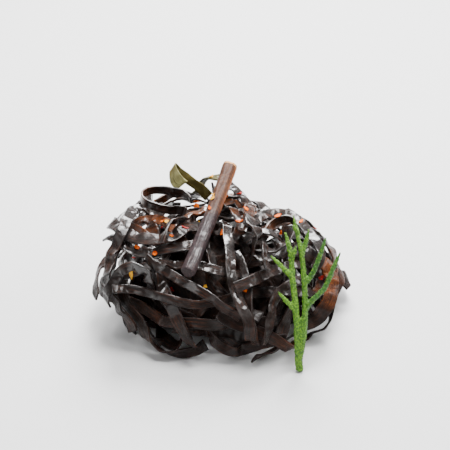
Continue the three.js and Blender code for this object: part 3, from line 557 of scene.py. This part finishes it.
skin_points = radii > 0.5 * radii.max()
radius = radii[skin_points].mean()
turns = np.arctan2(from_axis_y, from_axis_x)
waves = radii[skin_points] * np.exp(1j * FURROWS * turns[skin_points])
furrow_turn = np.angle(np.sum(waves)) / FURROWS
length = reach.max() - reach.min()

bpy.ops.object.select_all(action="DESELECT")
bpy.ops.mesh.primitive_cylinder_add(
    vertices=STALK_SIDES, radius=radius, depth=length, end_fill_type="TRIFAN"
)
stalk = bpy.context.object
stalk.name = stalk.data.name = "kombu_stalk"
bpy.ops.object.mode_set(mode="EDIT")
bpy.ops.mesh.select_mode(type="EDGE")
bpy.ops.mesh.select_all(action="DESELECT")
bpy.ops.object.mode_set(mode="OBJECT")
for edge in stalk.data.edges:
    ends = [stalk.data.vertices[v].co.z for v in edge.vertices]
    edge.select = abs(ends[0] - ends[1]) > MM
bpy.ops.object.mode_set(mode="EDIT")
bpy.ops.mesh.subdivide(number_cuts=STALK_RINGS)
bpy.ops.mesh.select_mode(type="FACE")
bpy.ops.mesh.select_all(action="DESELECT")
bpy.ops.object.mode_set(mode="OBJECT")
for face in stalk.data.polygons:
    face.select = abs(face.normal.z) > 0.9
bpy.ops.object.mode_set(mode="EDIT")
for ring in range(END_RINGS):
    bpy.ops.mesh.inset(thickness=radius / (END_RINGS + 1.5))
bpy.ops.mesh.select_mode(type="VERT")
bpy.ops.object.mode_set(mode="OBJECT")
use_modifier(stalk, "BEVEL", width=0.35 * MM, segments=3, angle_limit=math.radians(60))

flat = coordinates_of(stalk)
height = flat[:, 2] / length + 0.5
turn = np.arctan2(flat[:, 1], flat[:, 0])
out = np.hypot(flat[:, 0], flat[:, 1])
mm_up = flat[:, 2] / MM
furrows = np.maximum(0, -np.cos(FURROWS * (turn - furrow_turn))) ** 2
ribs = noise_at(2.2 * np.cos(turn), 2.2 * np.sin(turn), 0.05 * mm_up + 3)
knots = noise_at(0.8 * np.cos(turn), 0.8 * np.sin(turn), 0.35 * mm_up + 11)
wrinkles = noise_at(3.5 * np.cos(turn), 3.5 * np.sin(turn), 0.5 * mm_up + 23)
fullness = 1 + 0.03 * np.cos(5 * (1 - height))
relief = RIB_HEIGHT * ribs + KNOT_HEIGHT * knots + WRINKLE_HEIGHT * wrinkles - FURROW_DEPTH * furrows
out = out * (fullness + MM * relief / radius)
torn = TORN_DEPTH * noise_at(0.9 * flat[:, 0] / MM, 0.9 * flat[:, 1] / MM, 71.0) * (height > END_SHARE)
lift = flat[:, 2] + (reach.max() + reach.min()) / 2 - np.abs(torn)
curve_x = np.polyval(bow_x, lift) + out * np.cos(turn)
curve_y = np.polyval(bow_y, lift) + out * np.sin(turn)
off_axis = np.outer(curve_x, beside_axis) + np.outer(curve_y, over_axis)
move_to(stalk, centre + np.outer(lift, axis) + off_axis)
bpy.ops.object.shade_smooth()
for name, values in [
    ("height", height),
    ("orange", np.clip(0.1 + 1.6 * np.cos(turn - 0.35), 0, 1)),
    ("cut", np.clip((height - 0.962) * 60, 0, 1)),
]:
    layer = stalk.data.attributes.new(name, "FLOAT", "POINT")
    layer.data.foreach_set("value", values.astype(np.float32))

# Its finish: brown above, orange-brown on the side turned to the right, dark purple-grey and wetter
# towards the foot, and pale where it was cut.
TAN, PALE_TAN = (0.04, 0.016, 0.009), (0.09, 0.037, 0.018, 1)
ORANGE_BROWN = (0.34, 0.086, 0.01, 1)
PURPLE_GREY, PALE_GREY = (0.017, 0.011, 0.012), (0.045, 0.028, 0.028, 1)
FRESH_CUT = (0.62, 0.3, 0.1, 1)
ALONG_FIBRES = {"Rotation": (0, math.radians(-20), 0), "Scale": (1, 1, 0.12)}

stem_skin, start, places, surface = finish_named("kombu stalk skin")
height_up, cut_end = start.painted("height"), start.painted("cut")
fibre = places.node("ShaderNodeMapping", {}, {"Vector": places, **ALONG_FIBRES}).cloud(1.6, 4, 0.6)
stains = places.cloud(0.35, 4, 0.6)
tanned = start.colour(TAN).tinted(PALE_TAN, fibre.between(0.4, 0.65))
tanned = tanned.tinted(ORANGE_BROWN, start.painted("orange") * fibre.between(0.3, 0.5))
wet_foot = start.colour(PURPLE_GREY).tinted(PALE_GREY, fibre.between(0.45, 0.65))
tanned = tanned.tinted(wet_foot, 1 - (height_up + 0.35 * (stains - 0.5)).between(0.42, 0.66))
flecks = (cut_end + 1.6 * (fibre - 0.55)).between(0.75, 0.95)
lay_on(
    surface,
    Base_Color=tanned.tinted(FRESH_CUT, flecks * cut_end),
    Roughness=0.42 + 0.2 * fibre,
    IOR=1.25,
    Coat_Weight=0.5 * stains.between(0.4, 0.62) * (1 - height_up.between(0.5, 0.75)),
    Coat_Roughness=0.15,
    Normal=(fibre + 0.4 * stains).raised(0.7, 0.3 * MM),
)
stalk.data.materials.append(stem_skin)
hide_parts("stalk")
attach(stalk, "root")

# The garnish sprig: a fresh green plant with round, fleshy branches, covered in tiny scales and blunt at
# its tips. It stands on its cut foot and leans on the front of the heap. Its right side is painted a
# darker green, as painted shade.
SCALE_MM = 0.5
SCALE_HEIGHT, SCALE_GROOVE, SWELLING = 0.2, 0.42, 0.1
sprig = copy_of("garnish_sprig", "garnish_sprig_green")
use_modifier(sprig, "REMESH", mode="VOXEL", voxel_size=0.3 * MM)
use_modifier(sprig, "SMOOTH", factor=0.5, iterations=8)
places_in = coordinates_of(sprig)
outward = normals_of(sprig)
low = places_in[:, 2].min()
x, y, z = (places_in / MM).T
lumps = np.array([noise.voronoi(Vector(p) / SCALE_MM)[0][0] for p in zip(x, y, 0.8 * z)])
relief = SCALE_HEIGHT - SCALE_GROOVE * lumps**1.3 + SWELLING * noise_at(0.5 * x, 0.5 * y, 0.5 * z)
places_in += outward * (MM * relief)[:, None]
places_in[:, 2] = np.maximum(places_in[:, 2], low)
move_to(sprig, places_in)
bpy.ops.object.shade_smooth()

LIGHT_GREEN, DARK_GREEN, LIME = (0.1, 0.24, 0.01), (0.012, 0.085, 0.008, 1), (0.23, 0.42, 0.025, 1)
# Painted shade: the darker green laid into the grooves between the scales.
SHADE_BETWEEN_SCALES = (0.012, 0.05, 0.006, 1)
LIGHT_UP_TO_MM, DARK_FROM_MM = 22.5, 27
fresh, start, places, surface = finish_named("fresh green sprig")
on_scales = places.stretched((1, 1, 0.8))
scales = on_scales.node(
    "ShaderNodeTexVoronoi", {"feature": "F1"}, {"Vector": on_scales, "Scale": 1 / SCALE_MM}
)
tone = places.stretched((1, 1, 0.35)).cloud(0.12, 3)
dapple = places.cloud(1.2, 3, 0.6)
to_right = places.node("ShaderNodeSeparateXYZ", {}, {0: places})
# Painted shade: darker green towards the right, mixed with tone that differs at random.
painted_shade_and_tone = to_right.between(LIGHT_UP_TO_MM, DARK_FROM_MM) * 0.75 + tone.between(0.5, 0.7) * 0.3
green = start.colour(LIGHT_GREEN).tinted(DARK_GREEN, painted_shade_and_tone)
green = green.tinted(LIME, dapple.between(0.5, 0.72) * 0.5)
lay_on(
    surface,
    Base_Color=green.tinted(SHADE_BETWEEN_SCALES, scales.between(0.3, 0.7) * 0.7),
    Roughness=0.45 + 0.2 * dapple,
    IOR=1.35,
    Normal=(1 - scales).raised(0.8, 0.4 * MM),
)
sprig.data.materials.append(fresh)
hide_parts("garnish_sprig")
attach(sprig, "root")

# The chili flakes: chips of dried chili skin and seed, 1.5 to 3.5 mm long, that stick to the wet strips.
# Each colour has a few chips of its own, which are copied, turned and pressed onto what carries them.
# The ones that are seen in the picture are given by pixel, length in mm and narrowness, and the ones
# around the rest of the heap by their place in mm.
FLAKE_THICKNESS = 0.2 * MM
FLAKE_CORNERS = 8
FLAKE_MODELS = 4
FLAKE_ANGLE = math.radians(35)
BUCKLE = 3.2
FLAKES = {
    "orange": {
        "colours": ((0.36, 0.035, 0.001), (0.7, 0.13, 0.001)),
        "seen": [
            (190.3, 203.9, 1.9, 0.9), (196.1, 205.6, 2.1, 0.8), (137.3, 247.8, 2.2, 0.8),
            (155.5, 253.6, 2.2, 0.9), (239.3, 221.6, 2.4, 0.75), (277.9, 216.3, 2.5, 0.85),
            (222.2, 232.1, 2.6, 0.5), (171.3, 236.2, 2.0, 0.5), (281.5, 232.1, 1.9, 0.8),
            (245.9, 290.1, 1.9, 0.8), (209.7, 208.4, 2.0, 0.6), (245.4, 208.4, 2.8, 0.4),
            (163.0, 221.5, 1.6, 0.6), (227.0, 196.0, 1.8, 0.5),
        ],
        "around": [
            (12, 14, 2.2, 0.7), (-14, 20, 2, 0.8), (24, 2, 1.8, 0.7), (-28, 9, 2.2, 0.6),
            (2, 27, 1.9, 0.8),
        ],
    },
    "yellow": {
        "colours": ((0.5, 0.2, 0.008), (0.78, 0.42, 0.03)),
        "seen": [
            (212.7, 198.1, 2.2, 0.8), (167.6, 221.6, 2.6, 0.6), (198.6, 221.6, 2.0, 0.6),
            (131.5, 274.4, 3.4, 0.35), (206.1, 286.0, 2.0, 0.6), (214.0, 195.0, 1.4, 0.7),
        ],
        "around": [(-4, 18, 2.2, 0.6), (20, 18, 2, 0.6), (-22, 25, 1.8, 0.6)],
    },
    "red": {
        "colours": ((0.12, 0.003, 0.002), (0.34, 0.01, 0.004)),
        "seen": [
            (133.9, 257.8, 3.4, 0.2), (321.3, 277.7, 2.2, 0.7), (171.3, 289.3, 2.0, 0.6),
            (185.0, 228.0, 2.4, 0.4), (162.0, 228.0, 1.5, 0.7),
        ],
        "around": [(5, 8, 2, 0.6), (-9, 29, 2.2, 0.5), (29, 12, 2, 0.6)],
    },
}


def chip(name, seed):
    """One flake, about 1 unit across: a thin, torn, many-cornered piece, buckled across."""
    bpy.ops.object.select_all(action="DESELECT")
    bpy.ops.mesh.primitive_cylinder_add(
        vertices=FLAKE_CORNERS, radius=0.55, depth=1, end_fill_type="TRIFAN"
    )
    flake = bpy.context.object
    flake.name = flake.data.name = name
    corners = coordinates_of(flake)
    draw = np.random.default_rng(seed)
    reach = draw.uniform(0.5, 1.15, FLAKE_CORNERS)
    turns = np.arctan2(corners[:, 1], corners[:, 0]) / (2 * math.pi)
    corners[:, :2] *= reach[np.round(turns * FLAKE_CORNERS).astype(int) % FLAKE_CORNERS][:, None]
    lean = draw.uniform(-1.2, 1.2)
    corners[:, 2] += BUCKLE * np.abs(corners[:, 0] + lean * corners[:, 1])
    corners[:, 2] += draw.uniform(-0.3, 0.3, len(corners))
    move_to(flake, corners)
    use_modifier(flake, "BEVEL", width=0.04, segments=1, angle_limit=math.radians(40))
    return flake


def press_on(model, name, hit, facing, size, narrow, turn):
    """A copy of a chip, lying on what carries it at hit, flat against it."""
    flake = bpy.data.objects.new(name, model.data.copy())
    bpy.context.scene.collection.objects.link(flake)
    flat_on = facing.to_track_quat("Z", "Y").to_matrix().to_4x4()
    sized = Matrix.Diagonal((size * MM, size * narrow * MM, FLAKE_THICKNESS, 1))
    at = Matrix.Translation(hit + facing * 0.2 * FLAKE_THICKNESS)
    flake.data.transform(at @ flat_on @ Matrix.Rotation(turn, 4, "Z") @ sized)
    return flake


# Where the flakes land, found before any is made, so that none lands on another.
bpy.context.view_layer.update()
heap_now = bpy.context.evaluated_depsgraph_get()
pixels_per_slope = PICTURE_PIXELS * lens.lens / lens.sensor_width
straight_down = Vector((0, 0, -1))
landings = {}
for colour, flakes in FLAKES.items():
    found = []
    for px, py, size, narrow in flakes["seen"]:
        slope_right = (px - PICTURE_PIXELS / 2 + SHIFT_PIXELS[0]) / pixels_per_slope
        slope_up = (PICTURE_PIXELS / 2 + SHIFT_PIXELS[1] - py) / pixels_per_slope
        ray = (-toward_eye + slope_right * picture_right + slope_up * picture_up).normalized()
        found.append((bpy.context.scene.ray_cast(heap_now, eye, ray), size, narrow))
    for x_mm, y_mm, size, narrow in flakes["around"]:
        above = Vector((x_mm * MM, y_mm * MM, 0.1))
        met = bpy.context.scene.ray_cast(heap_now, above, straight_down)
        found.append((met, size, narrow))
    landings[colour] = found

for number, (colour, flakes) in enumerate(FLAKES.items()):
    models = [chip(f"chili_chip_{colour}_{n}", 10 * number + n) for n in range(FLAKE_MODELS)]
    copies = []
    for n, ((met, hit, facing, _, carrier, _), size, narrow) in enumerate(landings[colour]):
        if not met or not carrier.name.startswith(("kombu", "packed", "olive")):
            continue
        name, turn = f"flake_{colour}_{n}", 2.4 * n + 0.6
        copies.append(press_on(models[n % FLAKE_MODELS], name, hit, facing, size, narrow, turn))
    for model in models:
        bpy.data.objects.remove(model)
    bpy.ops.object.select_all(action="DESELECT")
    for flake in copies:
        flake.select_set(True)
    bpy.context.view_layer.objects.active = copies[0]
    bpy.ops.object.join()
    scatter = bpy.context.object
    scatter.name = scatter.data.name = f"chili_flakes_{colour}"
    bpy.ops.object.shade_smooth_by_angle(angle=FLAKE_ANGLE)
    dried, start, places, surface = finish_named(f"{colour} chili")
    dark, bright = flakes["colours"]
    parched = places.cloud(0.9, 3, 0.6)
    lay_on(
        surface,
        Base_Color=start.colour(dark).tinted((*bright, 1), parched.between(0.4, 0.62)),
        Roughness=0.5 + 0.3 * parched,
        IOR=1.2,
        Normal=parched.raised(0.5, 0.2 * MM),
    )
    scatter.data.materials.clear()
    scatter.data.materials.append(dried)
    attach(scatter, "root")
